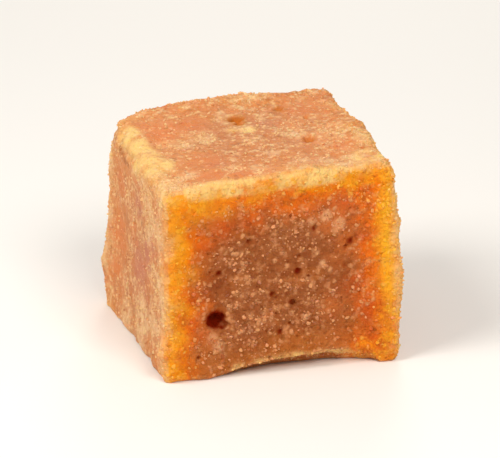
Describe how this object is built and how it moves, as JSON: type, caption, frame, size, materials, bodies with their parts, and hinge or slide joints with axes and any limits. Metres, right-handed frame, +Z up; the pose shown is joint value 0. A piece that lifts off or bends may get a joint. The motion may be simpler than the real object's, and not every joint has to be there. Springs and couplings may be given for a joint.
{
  "type": "jaggery block",
  "caption": "Rough cube of jaggery, unrefined cane sugar, with worn crumbly edges, dished faces, burst bubbles and stuck-on sugar crumbs.",
  "frame": {"origin": "on the resting surface, under the middle of the block's bounding box", "axes": "+Z up from the resting face, +X along the longer side from left to right as seen from the front, -Y out of the front face"},
  "size_m": [0.0276, 0.0262, 0.0235],
  "materials": {
    "jaggery": "amber brown set sugar, slightly translucent, waxy sheen, orange at the edges",
    "sugar_crust": "pale crystalline sugar grains and crumbs"
  },
  "bodies": {
    "root": {"jaggery_block": "jaggery"}
  },
  "joints": []
}
